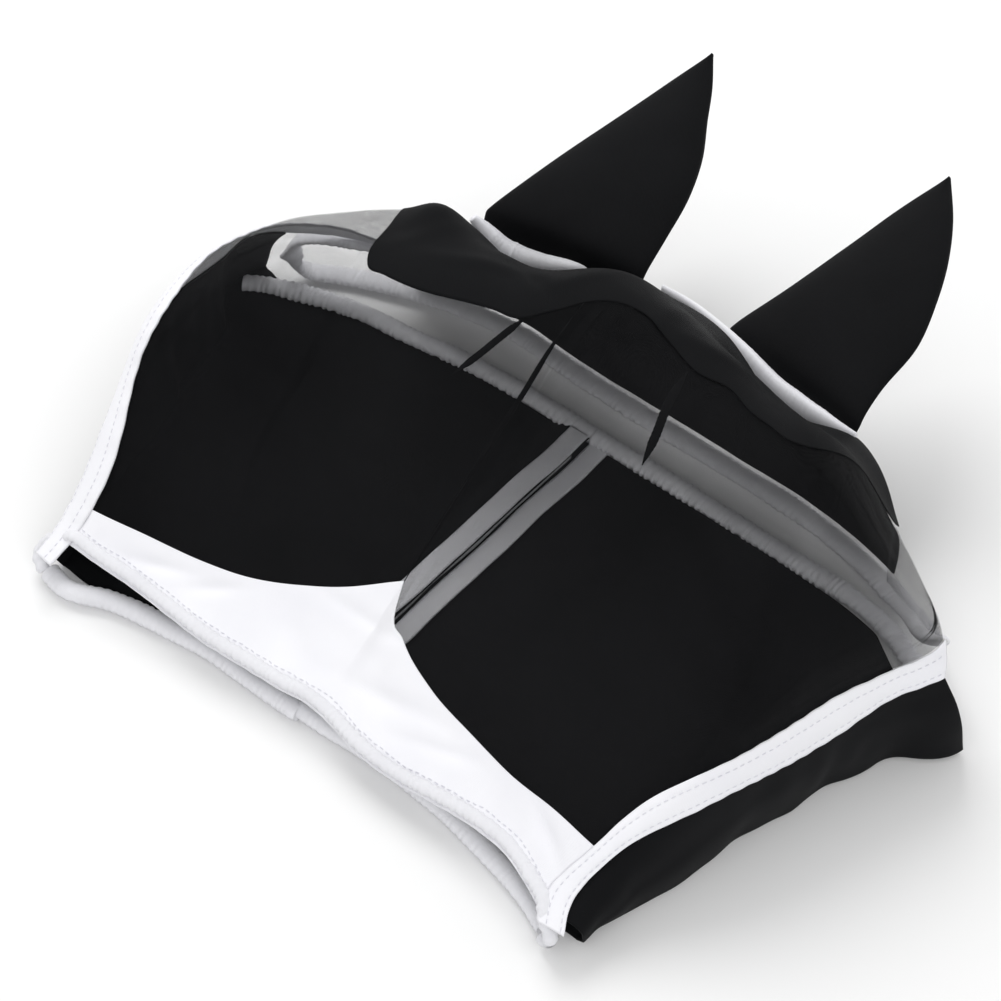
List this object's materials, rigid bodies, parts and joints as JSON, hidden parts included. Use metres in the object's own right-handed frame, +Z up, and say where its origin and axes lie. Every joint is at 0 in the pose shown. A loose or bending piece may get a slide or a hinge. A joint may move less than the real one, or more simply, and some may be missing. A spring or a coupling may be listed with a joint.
{
  "type": "horse fly mask",
  "caption": "Full-cheek stretch fly mask for a small horse: sheer eye mesh, satin nose band and trims, ear covers, ruched bindings and a jaw closure.",
  "frame": {"origin": "middle of the footprint, on the surface that the mask lies on", "axes": "+Z up, +Y from the nose opening to the ears, +X towards the horse's left side"},
  "size_m": [0.502, 0.449, 0.145],
  "materials": {
    "eye_mesh": "fine sheer black stretch mesh",
    "black_stretch": "matt black stretch knit with a soft sheen",
    "white_satin": "white stretch satin, soft sheen, stitched edges",
    "white_binding": "white ruched stretch binding",
    "white_elastic": "covered elastic",
    "hook_tape": "woven tape with hooks",
    "loop_tape": "woven tape with loops",
    "seam_thread": "overlocked black seam"
  },
  "bodies": {
    "mask": {"nose_band": "white_satin", "crown_band": "black_stretch", "poll_panel": "black_stretch", "eye_mesh_left": "eye_mesh", "eye_mesh_right": "eye_mesh", "cheek_trim_left": "white_satin", "cheek_trim_right": "white_satin", "jaw_side_left": "black_stretch", "jaw_side_right": "black_stretch", "ear_trim_left": "white_satin", "ear_trim_right": "white_satin", "nose_binding": "white_binding", "nose_elastic": "white_elastic", "poll_binding": "white_binding", "poll_elastic": "white_elastic", "face_seam": "seam_thread", "brow_dart_left": "seam_thread", "brow_dart_right": "seam_thread"},
    "jaw_flap_left": {"jaw_flap_left": "black_stretch", "chin_binding_left": "white_binding", "chin_elastic_left": "white_elastic", "throat_binding_left": "white_binding", "throat_elastic_left": "white_elastic", "closure_facing_left": "white_satin", "hook_tape": "hook_tape"},
    "jaw_flap_right": {"jaw_flap_right": "black_stretch", "chin_binding_right": "white_binding", "chin_elastic_right": "white_elastic", "throat_binding_right": "white_binding", "throat_elastic_right": "white_elastic", "closure_facing_right": "white_satin", "loop_tape": "loop_tape"},
    "ear_left": {"ear_left_front": "black_stretch", "ear_left_back": "black_stretch"},
    "ear_right": {"ear_right_front": "black_stretch", "ear_right_back": "black_stretch"}
  },
  "joints": [
    {"name": "jaw_open_left", "type": "hinge", "parent": "mask", "child": "jaw_flap_left", "pos_m": [0.1927, -0.093, 0.0015], "axis": [-0.2249, -0.9744, 0], "range_deg": [0, 115]},
    {"name": "jaw_open_right", "type": "hinge", "parent": "mask", "child": "jaw_flap_right", "pos_m": [-0.1927, -0.093, 0.0015], "axis": [-0.2249, 0.9744, 0], "range_deg": [0, 115]},
    {"name": "ear_tilt_left", "type": "hinge", "parent": "mask", "child": "ear_left", "pos_m": [0.077, 0.0885, 0.0765], "axis": [0.9776, -0.1976, 0.0728], "range_deg": [-35, 35]},
    {"name": "ear_tilt_right", "type": "hinge", "parent": "mask", "child": "ear_right", "pos_m": [-0.077, 0.0885, 0.0765], "axis": [0.9776, 0.1976, -0.0728], "range_deg": [-35, 35]}
  ],
  "couplings": [
    {"joint": "jaw_open_right", "follows": "jaw_open_left", "ratio": 0.9}
  ]
}
